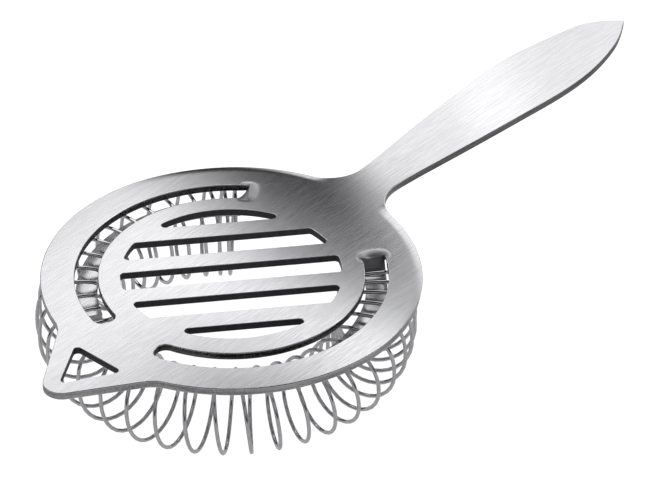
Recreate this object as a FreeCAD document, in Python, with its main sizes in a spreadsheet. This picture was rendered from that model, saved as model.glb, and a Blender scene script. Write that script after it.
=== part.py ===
import FreeCAD, Part
import math
import os

# Hawthorne strainer: one pressed sheet (perforated disc, pouring spout, paddle handle and two
# retaining tongues) and one long coil spring threaded over the tongues.
# Working frame: disc centre at the origin, top face of the disc at z = 0, handle towards +X.

Vector = FreeCAD.Vector
UP = Vector(0, 0, 1)

DIMENSIONS = [
    ("disc_radius", 43.0),
    ("sheet_thickness", 1.8),
    ("cut_depth", 20.0),
    ("neck_fillet", 9.4),
    ("neck_half_width", 5.25),
    ("handle_tip", 143.1),
    ("handle_tip_shift", -0.45),
    ("blank_width", 100.0),
    ("spout_reach", 58.5),
    ("spout_half_angle", 34.3),
    ("spout_nose_radius", 4.3),
    ("spout_fillet", 8.4),
    ("slot_width", 6.5),
    ("slot_pitch", 11.4),
    ("slot_field_radius", 25.0),
    ("slot_direction", -39.57),
    ("slot_field_offset", 0.45),
    ("crescent_offset", 19.6),
    ("slot_corner", 1.0),
    ("arc_slot_inner", 30.04),
    ("arc_slot_outer", 35.35),
    ("arc_slot_front_left", 166.4),
    ("arc_slot_front_right", 168.0),
    ("arc_slot_root", 35.5),
    ("arc_slot_corner", 2.2),
    ("pour_hole_centre", 47.0),
    ("pour_hole_inradius", 4.17),
    ("pour_hole_corner", 1.0),
    ("tongue_width", 4.8),
    ("wire_radius", 0.45),
    ("ring_radius", 33.9),
    ("ring_shift_x", -0.5),
    ("ring_shift_y", 1.2),
    ("coil_half_width", 8.9),
    ("coil_half_height", 10.2),
    ("coil_centre_depth", 12.6),
    ("coil_top_power", 3.0),
    ("coil_droop", 0.7),
    ("coil_start", 40.5),
    ("coil_end", 319.5),
    ("turns_per_ring", 38.7),
]

# Half-width of the handle at stations along +X, from the neck to just short of the tip.
# The two sides are alike up to the widest part. Beyond it the +Y side is the fuller one.
HANDLE_STATIONS = [
    (62.0, 6.1),
    (79.0, 7.8),
    (95.0, 9.05),
    (107.5, 9.7),
]
LEFT_END_STATIONS = [
    (117.5, 8.85),
    (129.8, 7.1),
    (133.6, 6.3),
    (136.7, 4.9),
    (140.4, 2.3),
]
RIGHT_END_STATIONS = [
    (117.5, 9.2),
    (130.5, 6.4),
    (134.0, 5.2),
    (138.4, 3.15),
]

# Directions in which the handle's edges leave the neck and arrive at the tip.
NECK_LEAN = Vector(12.0, 0, 0)
LEFT_TIP_LEAN = Vector(4.0, -4.0, 0)
RIGHT_TIP_LEAN = Vector(4.4, -2.6, 0)

# Bends of the sheet seen from the side: distance along +X, turn in degrees, bend length.
SHEET_BENDS = [
    (30.0, 2.14, 30.0),
    (60.0, -1.06, 30.0),
    (109.0, -2.36, 66.0),
]

# Each tongue, as (angle round the disc, depth of its top face below the disc's top face).
# Both are bent down alike at the root. The right one then droops further towards the spout.
TONGUE_ROOT_STATIONS = [
    (30.0, 0.35),
    (32.5, 0.55),
    (34.5, 1.15),
    (36.5, 2.45),
    (38.5, 3.3),
    (41.0, 3.55),
]
LEFT_TONGUE_STATIONS = [
    (48.0, 3.6),
    (60.0, 3.65),
    (75.0, 3.85),
    (90.0, 3.95),
    (105.0, 4.0),
    (120.0, 4.05),
    (135.0, 4.1),
    (150.0, 4.2),
]
RIGHT_TONGUE_STATIONS = [
    (48.0, 3.6),
    (60.0, 3.65),
    (70.0, 3.9),
    (80.0, 4.4),
    (90.0, 4.85),
    (105.0, 5.2),
    (120.0, 5.4),
    (135.0, 5.5),
    (150.0, 5.6),
]

doc = FreeCAD.newDocument("hawthorne_strainer")
sheet = doc.addObject("Spreadsheet::Sheet", "Dimensions")
for row, (alias, value) in enumerate(DIMENSIONS, start=1):
    sheet.set(f"A{row}", alias)
    sheet.set(f"B{row}", str(value))
    sheet.setAlias(f"B{row}", alias)
doc.recompute()


def size(alias):
    """The value of one cell of the dimension sheet."""
    return float(sheet.get(alias))


def bind(item, **sizes):
    """Tie an object's properties to cells of the sheet, by alias or by formula."""
    for prop, formula in sizes.items():
        item.setExpression(prop, formula)
    return item


def cell(alias):
    return f"Dimensions.{alias}"


def turned(angle, base=Vector(0, 0, 0)):
    """Placement turned about the disc's own axis."""
    spin = FreeCAD.Rotation(UP, angle)
    return FreeCAD.Placement(spin.multVec(base), spin)


# ---------------------------------------------------------------- plan outline of the blank


def polar(radius, angle):
    return Vector(radius * math.cos(angle), radius * math.sin(angle), 0)


def point_on_circle(centre, radius, first, second):
    """The point of a circle half way between two of its points, on the shorter side."""
    towards = (first - centre).normalize() + (second - centre).normalize()
    return centre + towards.normalize() * radius


def half_outline(side):
    """Curves of the blank from the handle's tip round to the spout's nose, on side +1 or -1."""

    def placed(point):
        return Vector(point.x, side * point.y, 0)

    def arc(start, middle, end):
        return Part.Arc(placed(start), placed(middle), placed(end))

    radius = size("disc_radius")
    fillet = size("neck_fillet")
    neck = size("neck_half_width")
    neck_centre_y = neck + fillet
    neck_centre_x = math.sqrt((radius + fillet) ** 2 - neck_centre_y ** 2)
    neck_centre = Vector(neck_centre_x, neck_centre_y, 0)
    neck_end = Vector(neck_centre_x, neck, 0)
    neck_start = neck_centre * (radius / (radius + fillet))

    handle = Part.BSplineCurve()
    end_stations = LEFT_END_STATIONS if side > 0 else RIGHT_END_STATIONS
    tip_lean = LEFT_TIP_LEAN if side > 0 else RIGHT_TIP_LEAN
    stations = [Vector(x, y, 0) for x, y in HANDLE_STATIONS + end_stations]
    tip = Vector(size("handle_tip"), side * size("handle_tip_shift"), 0)
    handle.interpolate(
        Points=[placed(point) for point in [neck_end] + stations + [tip]],
        InitialTangent=placed(NECK_LEAN),
        FinalTangent=placed(tip_lean),
    )

    lean = math.radians(size("spout_half_angle"))
    nose = size("spout_nose_radius")
    nose_centre = Vector(nose - size("spout_reach"), 0, 0)
    nose_end = nose_centre - Vector(nose, 0, 0)
    outward = Vector(-math.sin(lean), math.cos(lean), 0)
    along = Vector(math.cos(lean), math.sin(lean), 0)
    flank_distance = nose - nose_centre.x * math.sin(lean)
    spout_fillet = size("spout_fillet")
    reach = (radius + spout_fillet) ** 2 - (flank_distance + spout_fillet) ** 2
    fillet_centre = outward * (flank_distance + spout_fillet) - along * math.sqrt(reach)
    spout_start = fillet_centre * (radius / (radius + spout_fillet))
    flank_start = fillet_centre - outward * spout_fillet
    flank_end = nose_centre + outward * nose

    first_angle = math.atan2(neck_start.y, neck_start.x)
    last_angle = math.atan2(spout_start.y, spout_start.x)
    rim_middle = polar(radius, (first_angle + last_angle) / 2)
    neck_middle = point_on_circle(neck_centre, fillet, neck_end, neck_start)
    fillet_middle = point_on_circle(fillet_centre, spout_fillet, spout_start, flank_start)
    nose_middle = point_on_circle(nose_centre, nose, flank_end, nose_end)
    return [
        handle,
        arc(neck_end, neck_middle, neck_start),
        arc(neck_start, rim_middle, spout_start),
        arc(spout_start, fillet_middle, flank_start),
        Part.LineSegment(placed(flank_start), placed(flank_end)),
        arc(flank_end, nose_middle, nose_end),
    ]


def attached_sketch(body, name, plane_role):
    sketch = body.newObject("Sketcher::SketchObject", name)
    plane = next(item for item in body.Origin.OriginFeatures if item.Role == plane_role)
    sketch.AttachmentSupport = [(plane, "")]
    sketch.MapMode = "FlatFace"
    return sketch


def padded_body(name, plane_role, curves, length_formula):
    """A body made of one closed sketch, padded equally to both sides of its plane."""
    body = doc.addObject("PartDesign::Body", name)
    sketch = attached_sketch(body, name + "_outline", plane_role)
    sketch.addGeometry(curves, False)
    pad = body.newObject("PartDesign::Pad", name + "_pad")
    pad.Profile = sketch
    pad.Midplane = True
    bind(pad, Length=length_formula)
    return body


outline = half_outline(+1) + half_outline(-1)
plan_blank = padded_body("plan_blank", "XY_Plane", outline, cell("cut_depth"))

# ---------------------------------------------------------------- side profile of the blank


def strip_edge(points, bends, offset):
    """One face of a bent strip: the tangent lines and arcs at a given offset from its middle."""
    curves = []
    heading = 0.0
    start = points[0] + Vector(-math.sin(heading), math.cos(heading), 0) * offset
    first = start
    for corner, (_, turn, length) in zip(points[1:-1], bends):
        turn_angle = math.radians(turn)
        radius = length / turn_angle
        reach = radius * math.tan(turn_angle / 2)
        before = corner - Vector(math.cos(heading), math.sin(heading), 0) * reach
        centre = before + Vector(-math.sin(heading), math.cos(heading), 0) * radius
        spoke = radius - offset
        ends = []
        for share in (0.0, 0.5, 1.0):
            angle = heading + turn_angle * share
            ends.append(centre + Vector(math.sin(angle), -math.cos(angle), 0) * spoke)
        curves.append(Part.LineSegment(start, ends[0]))
        curves.append(Part.Arc(*ends))
        start = ends[2]
        heading += turn_angle
    last = points[-1] + Vector(-math.sin(heading), math.cos(heading), 0) * offset
    curves.append(Part.LineSegment(start, last))
    return curves, first, last


def side_profile():
    """Closed outline, in X and Z, of the sheet with its slight rise towards the handle."""
    margin = 5.0
    heading = 0.0
    middle = -size("sheet_thickness") / 2
    points = [Vector(-size("spout_reach") - margin, middle, 0)]
    for distance, turn, _ in SHEET_BENDS:
        step = distance - points[-1].x
        points.append(points[-1] + Vector(step, step * math.tan(heading), 0))
        heading += math.radians(turn)
    step = size("handle_tip") + margin - points[-1].x
    points.append(points[-1] + Vector(step, step * math.tan(heading), 0))
    top, top_first, top_last = strip_edge(points, SHEET_BENDS, -middle)
    under, under_first, under_last = strip_edge(points, SHEET_BENDS, middle)
    ends = [Part.LineSegment(top_first, under_first), Part.LineSegment(top_last, under_last)]
    return top + under + ends


side_blank = padded_body("side_blank", "XZ_Plane", side_profile(), cell("blank_width"))

pressed_blank = doc.addObject("Part::Common", "pressed_blank")
pressed_blank.Base = side_blank
pressed_blank.Tool = plan_blank
doc.recompute()

# ---------------------------------------------------------------- piercings


def upright_edges(shape):
    """Numbers of the straight vertical edges of a shape, as Part's fillet counts them."""
    numbers = []
    for number, edge in enumerate(shape.Edges, start=1):
        first, last = edge.firstVertex().Point, edge.lastVertex().Point
        if abs((last - first).normalize().z) > 0.999:
            numbers.append(number)
    return numbers


def rounded(name, base, radius_alias, keep=None):
    """The solid with its upright edges rounded, all of them or those that keep() accepts."""
    doc.recompute()
    numbers = upright_edges(base.Shape)
    if keep is not None:
        numbers = [n for n in numbers if keep(base.Shape.Edges[n - 1].firstVertex().Point)]
    fillet = doc.addObject("Part::Fillet", name)
    fillet.Base = base
    radius = size(radius_alias)
    fillet.Edges = [(number, radius, radius) for number in numbers]
    return fillet


def straight_slots():
    """Parallel slots cut off by one circle: three long ones and a crescent at each side."""
    field = doc.addObject("Part::Cylinder", "slot_field")
    bind(field, Radius=cell("slot_field_radius"), Height=cell("cut_depth"))
    centre = Vector(0, size("slot_field_offset"), -size("cut_depth") / 2)
    field.Placement = turned(size("slot_direction"), centre)
    middles = [index * size("slot_pitch") for index in (-1, 0, 1)]
    starts = [middle - size("slot_width") / 2 for middle in middles]
    crescent = size("crescent_offset")
    starts += [crescent, -crescent - size("slot_width")]
    bars = []
    for index, start in enumerate(starts):
        bar = doc.addObject("Part::Box", f"slot_bar_{index}")
        bind(
            bar,
            Length="2 * Dimensions.slot_field_radius + 10",
            Width=cell("slot_width"),
            Height=cell("cut_depth"),
        )
        corner = Vector(-size("slot_field_radius") - 5, start, 0) + centre
        bar.Placement = turned(size("slot_direction"), corner)
        bars.append(bar)
    group = doc.addObject("Part::MultiFuse", "slot_bars")
    group.Shapes = bars
    slots = doc.addObject("Part::Common", "slot_cutters")
    slots.Base = group
    slots.Tool = field
    return rounded("straight_slots", slots, "slot_corner")


def arc_slot(side, start_angle):
    """One arc slot, with its corners rounded at the spout end only."""
    name = f"arc_slot_{side}"
    walls = []
    for wall in ("outer", "inner"):
        ring = doc.addObject("Part::Cylinder", f"{name}_{wall}")
        bind(
            ring,
            Radius=cell(f"arc_slot_{wall}"),
            Height=cell("cut_depth"),
            Angle=f"Dimensions.arc_slot_front_{side} - Dimensions.arc_slot_root",
        )
        ring.Placement = turned(start_angle, Vector(0, 0, -size("cut_depth") / 2))
        walls.append(ring)
    sector = doc.addObject("Part::Cut", f"{name}_sector")
    sector.Base, sector.Tool = walls
    return rounded(name, sector, "arc_slot_corner", keep=lambda point: point.x < 0)


def pour_hole():
    """Rounded triangular hole in the spout, one corner towards the nose."""
    prism = doc.addObject("Part::Prism", "pour_hole_prism")
    prism.Polygon = 3
    bind(prism, Circumradius="2 * Dimensions.pour_hole_inradius", Height=cell("cut_depth"))
    centre = Vector(size("pour_hole_centre"), 0, -size("cut_depth") / 2)
    prism.Placement = turned(180, centre)
    return rounded("pour_hole", prism, "pour_hole_corner")


cutters = doc.addObject("Part::MultiFuse", "piercings")
cutters.Shapes = [
    straight_slots(),
    arc_slot("left", size("arc_slot_root")),
    arc_slot("right", -size("arc_slot_front_right")),
    pour_hole(),
]
pierced_sheet = doc.addObject("Part::Cut", "pierced_sheet")
pierced_sheet.Base = pressed_blank
pierced_sheet.Tool = cutters

# ---------------------------------------------------------------- retaining tongues


def tongue_shape(side, end_stations):
    """The strip left from one arc slot, bent down at its root and run along under the slot."""
    stations = TONGUE_ROOT_STATIONS + end_stations
    middle = (size("arc_slot_inner") + size("arc_slot_outer")) / 2
    inner = middle - size("tongue_width") / 2
    outer = middle + size("tongue_width") / 2
    sections = []
    for index, (angle, depth) in enumerate(stations):
        before = stations[max(index - 1, 0)]
        after = stations[min(index + 1, len(stations) - 1)]
        run = math.radians(after[0] - before[0]) * middle
        slope = (after[1] - before[1]) / run
        upright = size("sheet_thickness") * math.sqrt(1 + slope ** 2)
        if index < 2:
            upright = size("sheet_thickness") - 2 * stations[0][1]
        spoke = polar(1.0, side * math.radians(angle))
        corners = [
            spoke * inner - UP * depth,
            spoke * outer - UP * depth,
            spoke * outer - UP * (depth + upright),
            spoke * inner - UP * (depth + upright),
        ]
        sections.append(Part.makePolygon(corners + corners[:1]))
    return Part.makeLoft(sections, True, False)


tongue_left = doc.addObject("Part::Feature", "tongue_left")
tongue_left.Shape = tongue_shape(+1, LEFT_TONGUE_STATIONS)
tongue_right = doc.addObject("Part::Feature", "tongue_right")
tongue_right.Shape = tongue_shape(-1, RIGHT_TONGUE_STATIONS)

strainer_plate = doc.addObject("Part::MultiFuse", "strainer_plate")
strainer_plate.Shapes = [pierced_sheet, tongue_left, tongue_right]
strainer_plate.Label = "strainer_plate"

# ---------------------------------------------------------------- coil spring


def crowding(angle):
    """How much closer the coils stand at this angle than along the open run of the spring."""
    left = 1.5 * math.exp(-(((angle - size("coil_start")) / 9.0) ** 2))
    right = 0.5 * math.exp(-(((size("coil_end") - angle) / 22.0) ** 2))
    return 1.0 + left + right


def even_rise(value):
    """0 below 0, 1 above 1, and a smooth rise between."""
    value = min(max(value, 0.0), 1.0)
    return value * value * (3 - 2 * value)


def coil_lift(angle):
    """1 where the coil's top is pressed up under the plate, 0 where it droops with the right tongue."""
    return 1 - even_rise((angle - 170.0) / 25.0) * (1 - even_rise((angle - 265.0) / 33.0))


def coil_fullness(angle, phase):
    """How far the coil stands out beyond an oval. Its upper half is squarer where it is pressed up."""
    if math.sin(phase) <= 0:
        return 1.0
    power = 2 + (size("coil_top_power") - 2) * coil_lift(angle)
    return (abs(math.cos(phase)) ** power + math.sin(phase) ** power) ** (-1 / power)


def coil_point(angle, phase):
    """A point of the wire's centreline: the coil carried round the ring, which sits a little to the left."""
    around = math.radians(angle)
    shift = size("ring_shift_x") * math.cos(around) + size("ring_shift_y") * math.sin(around)
    fullness = coil_fullness(angle, phase)
    droop = size("coil_droop") * (1 - coil_lift(angle))
    radial = size("ring_radius") + shift + size("coil_half_width") * math.cos(phase) * fullness
    height = (size("coil_half_height") - droop) * math.sin(phase) * fullness
    height -= size("coil_centre_depth") + droop
    return polar(radial, around) + UP * height


def coil_centreline():
    """Points and directions along the wire, six to a turn."""
    step = 0.02
    count = int(round((size("coil_end") - size("coil_start")) / step))
    reference_angle = 215.0
    reference_phase = 2.13
    angles = [size("coil_start") + step * index for index in range(count + 1)]
    phases = [0.0]
    for angle in angles[1:]:
        rate = size("turns_per_ring") * crowding(angle - step / 2)
        phases.append(phases[-1] - math.radians(step) * rate)
    reference = phases[int(round((reference_angle - angles[0]) / step))]
    phases = [phase - reference + reference_phase for phase in phases]
    spacing = math.radians(60.0)
    samples = []
    wanted = phases[0]
    for angle, phase in zip(angles, phases):
        if phase <= wanted:
            samples.append((angle, phase))
            wanted -= spacing
    points = [coil_point(angle, phase) for angle, phase in samples]
    directions = []
    nudge = 0.01
    for angle, phase in samples:
        rate = size("turns_per_ring") * crowding(angle)
        ahead = coil_point(angle + nudge, phase - math.radians(nudge) * rate)
        behind = coil_point(angle - nudge, phase + math.radians(nudge) * rate)
        directions.append((ahead - behind).normalize())
    return points, directions


def biarc(start, start_way, end, end_way):
    """Two arcs, tangent where they meet, from one point and direction to the next."""
    chord = end - start
    ways = start_way + end_way
    spread = 2 * (1 - start_way.dot(end_way))
    across = chord.dot(ways)
    reach = (math.sqrt(across ** 2 + spread * chord.dot(chord)) - across) / spread
    first_corner = start + start_way * reach
    second_corner = end - end_way * reach
    joint = (first_corner + second_corner) * 0.5
    arcs = []
    for first, corner, last in ((start, first_corner, joint), (joint, second_corner, end)):
        middle = (first + last) * 0.5
        half_turn = math.atan2((corner - middle).Length, (last - first).Length / 2)
        share = math.tan(half_turn / 2) / math.tan(half_turn)
        arcs.append(Part.Arc(first, middle + (corner - middle) * share, last).toShape())
    return arcs


def coil_shape():
    """Round wire swept along the coil's arcs."""
    points, directions = coil_centreline()
    arcs = []
    for index in range(len(points) - 1):
        here = (points[index], directions[index])
        there = (points[index + 1], directions[index + 1])
        arcs += biarc(*here, *there)
    path = Part.Wire(arcs)
    ring = Part.makeCircle(size("wire_radius"), points[0], directions[0])
    tube = path.makePipeShell([Part.Wire([ring])], True, False)
    expected = math.pi * size("wire_radius") ** 2 * path.Length
    print(f"coil_spring wire {path.Length:.0f} mm, volume {tube.Volume:.1f} of {expected:.1f} mm3")
    return tube


coil_spring = doc.addObject("Part::Feature", "coil_spring")
coil_spring.Label = "coil_spring"
coil_spring.Shape = coil_shape()
doc.recompute()

# ---------------------------------------------------------------- placing, checking, writing

# The row's origin is under the middle of the whole object, on the surface that it stands on.
pieces = [strainer_plate, coil_spring]
whole = FreeCAD.BoundBox()
for piece in pieces:
    whole.add(piece.Shape.optimalBoundingBox(False, False))
stand = FreeCAD.Placement(
    Vector(-(whole.XMin + whole.XMax) / 2, -(whole.YMin + whole.YMax) / 2, -whole.ZMin),
    FreeCAD.Rotation(),
)
for piece in pieces:
    piece.Placement = stand
doc.recompute()

for item in doc.Objects:
    if "Invalid" in item.State or "Error" in item.State:
        raise RuntimeError(f"{item.Name} failed: {item.State}")
os.makedirs("parts", exist_ok=True)
for piece in pieces:
    shape = piece.Shape
    if shape.isNull() or not shape.isValid():
        raise RuntimeError(f"{piece.Label} has no valid shape")
    print(f"{piece.Label}: {len(shape.Solids)} solid, volume {shape.Volume:.1f} mm3, {shape.BoundBox}")
    shape.exportStep(os.path.join("parts", piece.Label + ".step"))
print(f"placed by {stand.Base}")
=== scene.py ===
import math

import bpy
import numpy as np
from mathutils import Matrix, Vector
from mathutils.geometry import delaunay_2d_cdt


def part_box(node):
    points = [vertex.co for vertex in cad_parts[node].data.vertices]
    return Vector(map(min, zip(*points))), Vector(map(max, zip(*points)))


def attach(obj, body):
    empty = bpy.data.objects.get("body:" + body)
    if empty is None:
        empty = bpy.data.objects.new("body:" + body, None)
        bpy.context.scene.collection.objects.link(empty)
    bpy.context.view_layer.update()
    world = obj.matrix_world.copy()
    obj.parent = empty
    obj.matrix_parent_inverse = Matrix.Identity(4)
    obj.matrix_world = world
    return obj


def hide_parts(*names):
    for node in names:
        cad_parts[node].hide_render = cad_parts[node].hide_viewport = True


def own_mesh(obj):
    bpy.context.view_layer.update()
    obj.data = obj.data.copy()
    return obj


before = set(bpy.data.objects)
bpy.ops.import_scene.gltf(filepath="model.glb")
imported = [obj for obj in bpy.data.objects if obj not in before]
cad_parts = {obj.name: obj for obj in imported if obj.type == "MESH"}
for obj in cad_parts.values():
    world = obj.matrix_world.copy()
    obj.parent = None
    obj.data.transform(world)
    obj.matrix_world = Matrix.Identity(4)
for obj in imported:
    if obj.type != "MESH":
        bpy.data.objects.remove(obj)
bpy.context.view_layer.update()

# Hawthorne strainer: a pressed and brushed steel plate, and a coil spring of bright drawn wire.
# Plans and profiles are worked out in millimetres about the disc's centre, with +X along the handle,
# and z = 0 at the disc's top face. in_frame() moves them to the CAD frame, in metres.

MM = 0.001

# The blank: a disc with a spout at -X and a handle at +X. Stations give x and the half width there.
DISC_RADIUS = 43.0
THICKNESS = 1.8
HANDLE_TIP = 143.1
HANDLE_TIP_SHIFT = -0.45
NECK_FILLET = 9.4
NECK_HALF_WIDTH = 5.25
HANDLE_STATIONS = [(62, 6.1), (79, 7.8), (95, 9.05), (107.5, 9.7)]
LEFT_END_STATIONS = [(117.5, 8.85), (129.8, 7.1), (133.6, 6.3), (136.7, 4.9), (140.4, 2.3)]
RIGHT_END_STATIONS = [(117.5, 9.2), (130.5, 6.4), (134, 5.2), (138.4, 3.15)]
LEFT_TIP_LEAN = (4.0, -4.0)
RIGHT_TIP_LEAN = (4.4, -2.6)
# From here on the blank's edge is sharper and its cut darker.
HANDLE_START = 50.0
SPOUT_REACH = 58.5
SPOUT_HALF_ANGLE = math.radians(34.3)
SPOUT_NOSE = 4.3
SPOUT_FILLET = 8.4

# The cuts: five straight slots in a round field, two arc slots, and a rounded triangle in the spout.
SLOT_WIDTH = 6.5
SLOT_PITCH = 11.4
SLOT_FIELD_RADIUS = 25.0
SLOT_DIRECTION = math.radians(-39.57)
SLOT_FIELD_OFFSET = 0.45
SLOT_CORNER = 1.0
CRESCENT_OFFSET = 19.6
ARC_INNER = 30.04
ARC_OUTER = 35.35
ARC_MIDDLE = (ARC_INNER + ARC_OUTER) / 2
ARC_SPAN = ARC_OUTER - ARC_INNER
ARC_ROOT = math.radians(35.5)
ARC_FRONT_LEFT = math.radians(166.4)
ARC_FRONT_RIGHT = math.radians(168.0)
ARC_CORNER = 2.2
HOLE_CENTRE = -47.0
HOLE_INRADIUS = 4.17
HOLE_CORNER = 1.0

# Bends of the sheet along X: middle, turn, length over which it turns.
SHEET_BENDS = [
    (30.0, math.radians(2.14), 30.0),
    (60.0, math.radians(-1.06), 30.0),
    (109.0, math.radians(-2.36), 66.0),
]

TONGUE_WIDTH = 4.8
# Depth of each tongue's top face by angle round the disc. The right one droops towards the spout.
ROOT_DEPTHS = [(35.5, 0.8), (36.6, 1.7), (38.0, 2.8), (39.3, 3.4), (41.5, 3.57), (48, 3.6), (60, 3.65)]
LEFT_DEPTHS = ROOT_DEPTHS + [(75, 3.85), (90, 3.95), (120, 4.05), (150, 4.2)]
RIGHT_DEPTHS = ROOT_DEPTHS + [(70, 3.9), (80, 4.4), (90, 4.85), (105, 5.2), (120, 5.4), (150, 5.6)]
ROOT_SLOPE = 0.55
TONGUE_DISH = 0.16
TONGUE_EDGE = 0.14
# Lengths along the tongue from its root: its edges round off, the dimple ends, and it narrows.
ROOT_EASE = 1.2
ROOT_BLEND = 3.2
TONGUE_TAPER = 6.0

# The dimple that leads the sheet down into each tongue, and the roll-down of the rim beside the neck.
SCOOP_START = math.radians(29.8)
SCOOP_FADE = math.radians(5.0)
SCOOP_SHARPNESS = 3.4
SCOOP_DEPTH = ROOT_DEPTHS[0][1]
SCOOP_HALF_WIDTH = 4.3
PRESSED_DEPTH = 0.06
ROLL_DEPTH = 0.22
ROLL_WIDTH = 2.3

# The spring: wire round an oval tube, carried round a ring of the given radius, angles in degrees.
WIRE_RADIUS = 0.45
RING_RADIUS = 33.9
RING_SHIFT = (-0.5, 1.2)
COIL_HALF_WIDTH = 8.9
COIL_HALF_HEIGHT = 10.2
COIL_DEPTH = 12.6
COIL_TOP_POWER = 3.0
COIL_DROOP = 0.7
COIL_START = 40.5
COIL_END = 319.5
TURNS_PER_RING = 38.7
PHASE_ANGLE = 215.0
PHASE_THERE = 2.13

# Rings of faces down a cut's rounded edge and its wall, and the radii of those edges.
EDGE_RINGS = 4
WALL_RINGS = 3
OUTLINE_EDGE = 0.22
HANDLE_EDGE = 0.09
SLOT_EDGE = 0.1
ARC_EDGE = 0.18

plate_low, plate_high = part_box("strainer_plate")
coil_low, coil_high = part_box("coil_spring")
DISC_X = plate_high[0] / MM - HANDLE_TIP
DISC_Y = (plate_low[1] + plate_high[1]) / 2 / MM
TOP_Z = coil_low[2] / MM + COIL_DEPTH + COIL_HALF_HEIGHT + WIRE_RADIUS


def in_frame(points):
    """Points in millimetres about the disc, in metres in the CAD frame."""
    return (np.asarray(points, float) + [DISC_X, DISC_Y, TOP_Z]) * MM


# ------------------------------------------------------------------ small curve tools


def polar(radius, angle):
    return np.array([radius * math.cos(angle), radius * math.sin(angle)])


def arc(centre, radius, start, end, step=0.6):
    """Points of an arc from one angle to another, both ends included."""
    count = max(3, int(abs(end - start) * radius / step) + 2)
    angles = np.linspace(start, end, count)
    return np.asarray(centre) + radius * np.column_stack([np.cos(angles), np.sin(angles)])


def line(start, end, step=0.8):
    count = max(2, int(np.linalg.norm(np.subtract(end, start)) / step) + 2)
    share = np.linspace(0, 1, count)[:, None]
    return np.asarray(start) * (1 - share) + np.asarray(end) * share


def cubic(t, gap, start, end, start_slope, end_slope):
    """From start to end with the given slopes, as t goes from 0 to 1 across the gap."""
    leaving = (1 + 2 * t) * (1 - t) ** 2 * start + t * (1 - t) ** 2 * gap * start_slope
    arriving = t**2 * (3 - 2 * t) * end + t**2 * (t - 1) * gap * end_slope
    return leaving + arriving


def spline(points, first_way, last_way, step=0.8):
    """A smooth curve through the points, leaving and arriving in the given directions."""
    points = np.asarray(points, float)
    gaps = np.linalg.norm(np.diff(points, axis=0), axis=1)
    count = len(points)
    system = np.zeros((count, count))
    known = np.zeros((count, 2))
    system[0, 0] = system[-1, -1] = 1
    known[0] = np.asarray(first_way) / np.linalg.norm(first_way)
    known[-1] = np.asarray(last_way) / np.linalg.norm(last_way)
    for i in range(1, count - 1):
        before, after = gaps[i - 1], gaps[i]
        system[i, i - 1 : i + 2] = [after, 2 * (before + after), before]
        rise = after / before * (points[i] - points[i - 1]) + before / after * (points[i + 1] - points[i])
        known[i] = 3 * rise
    slopes = np.linalg.solve(system, known)
    pieces = []
    for i, gap in enumerate(gaps):
        t = np.linspace(0, 1, int(gap / step) + 3)[:, None]
        pieces.append(cubic(t, gap, points[i], points[i + 1], slopes[i], slopes[i + 1]))
    return join(pieces)


def join(pieces):
    """One run of points from several, without the doubled ends."""
    points = np.vstack(pieces)
    apart = np.linalg.norm(np.diff(points, axis=0), axis=1) > 1e-6
    return points[np.concatenate([[True], apart])]


def smooth(value):
    """0 below 0, 1 above 1, and an even rise between."""
    value = np.clip(value, 0.0, 1.0)
    return value * value * (3 - 2 * value)


# ------------------------------------------------------------------ plan of the plate


def half_outline(end_stations, tip_shift, tip_lean):
    """The +Y half of the blank's edge, from the handle's tip to the spout's nose."""
    reach = DISC_RADIUS + NECK_FILLET
    neck_y = NECK_HALF_WIDTH + NECK_FILLET
    neck_centre = np.array([math.sqrt(reach**2 - neck_y**2), neck_y])
    neck_angle = math.atan2(neck_centre[1], neck_centre[0])
    handle = [(neck_centre[0], NECK_HALF_WIDTH)] + HANDLE_STATIONS + end_stations + [(HANDLE_TIP, tip_shift)]
    handle_edge = spline(handle, (1, 0), tip_lean)[::-1]

    nose_centre = np.array([SPOUT_NOSE - SPOUT_REACH, 0.0])
    outward = np.array([-math.sin(SPOUT_HALF_ANGLE), math.cos(SPOUT_HALF_ANGLE)])
    along = np.array([math.cos(SPOUT_HALF_ANGLE), math.sin(SPOUT_HALF_ANGLE)])
    flank_distance = SPOUT_NOSE - nose_centre[0] * math.sin(SPOUT_HALF_ANGLE)
    side = (DISC_RADIUS + SPOUT_FILLET) ** 2 - (flank_distance + SPOUT_FILLET) ** 2
    fillet_centre = outward * (flank_distance + SPOUT_FILLET) - along * math.sqrt(side)
    rim_angle = math.atan2(fillet_centre[1], fillet_centre[0])
    lean = math.pi / 2 + SPOUT_HALF_ANGLE
    return join(
        [
            handle_edge,
            arc(neck_centre, NECK_FILLET, -math.pi / 2, neck_angle - math.pi, 0.4),
            arc((0, 0), DISC_RADIUS, neck_angle, rim_angle),
            arc(fillet_centre, SPOUT_FILLET, rim_angle - math.pi, lean - math.pi, 0.4),
            line(fillet_centre - outward * SPOUT_FILLET, nose_centre + outward * SPOUT_NOSE),
            arc(nose_centre, SPOUT_NOSE, lean, math.pi, 0.3),
        ]
    )


def plate_outline():
    """The blank's edge, counter-clockwise from the handle's tip."""
    left = half_outline(LEFT_END_STATIONS, HANDLE_TIP_SHIFT, LEFT_TIP_LEAN)
    right = half_outline(RIGHT_END_STATIONS, -HANDLE_TIP_SHIFT, RIGHT_TIP_LEAN)
    return np.vstack([left, right[1:-1][::-1] * [1, -1]])


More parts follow.
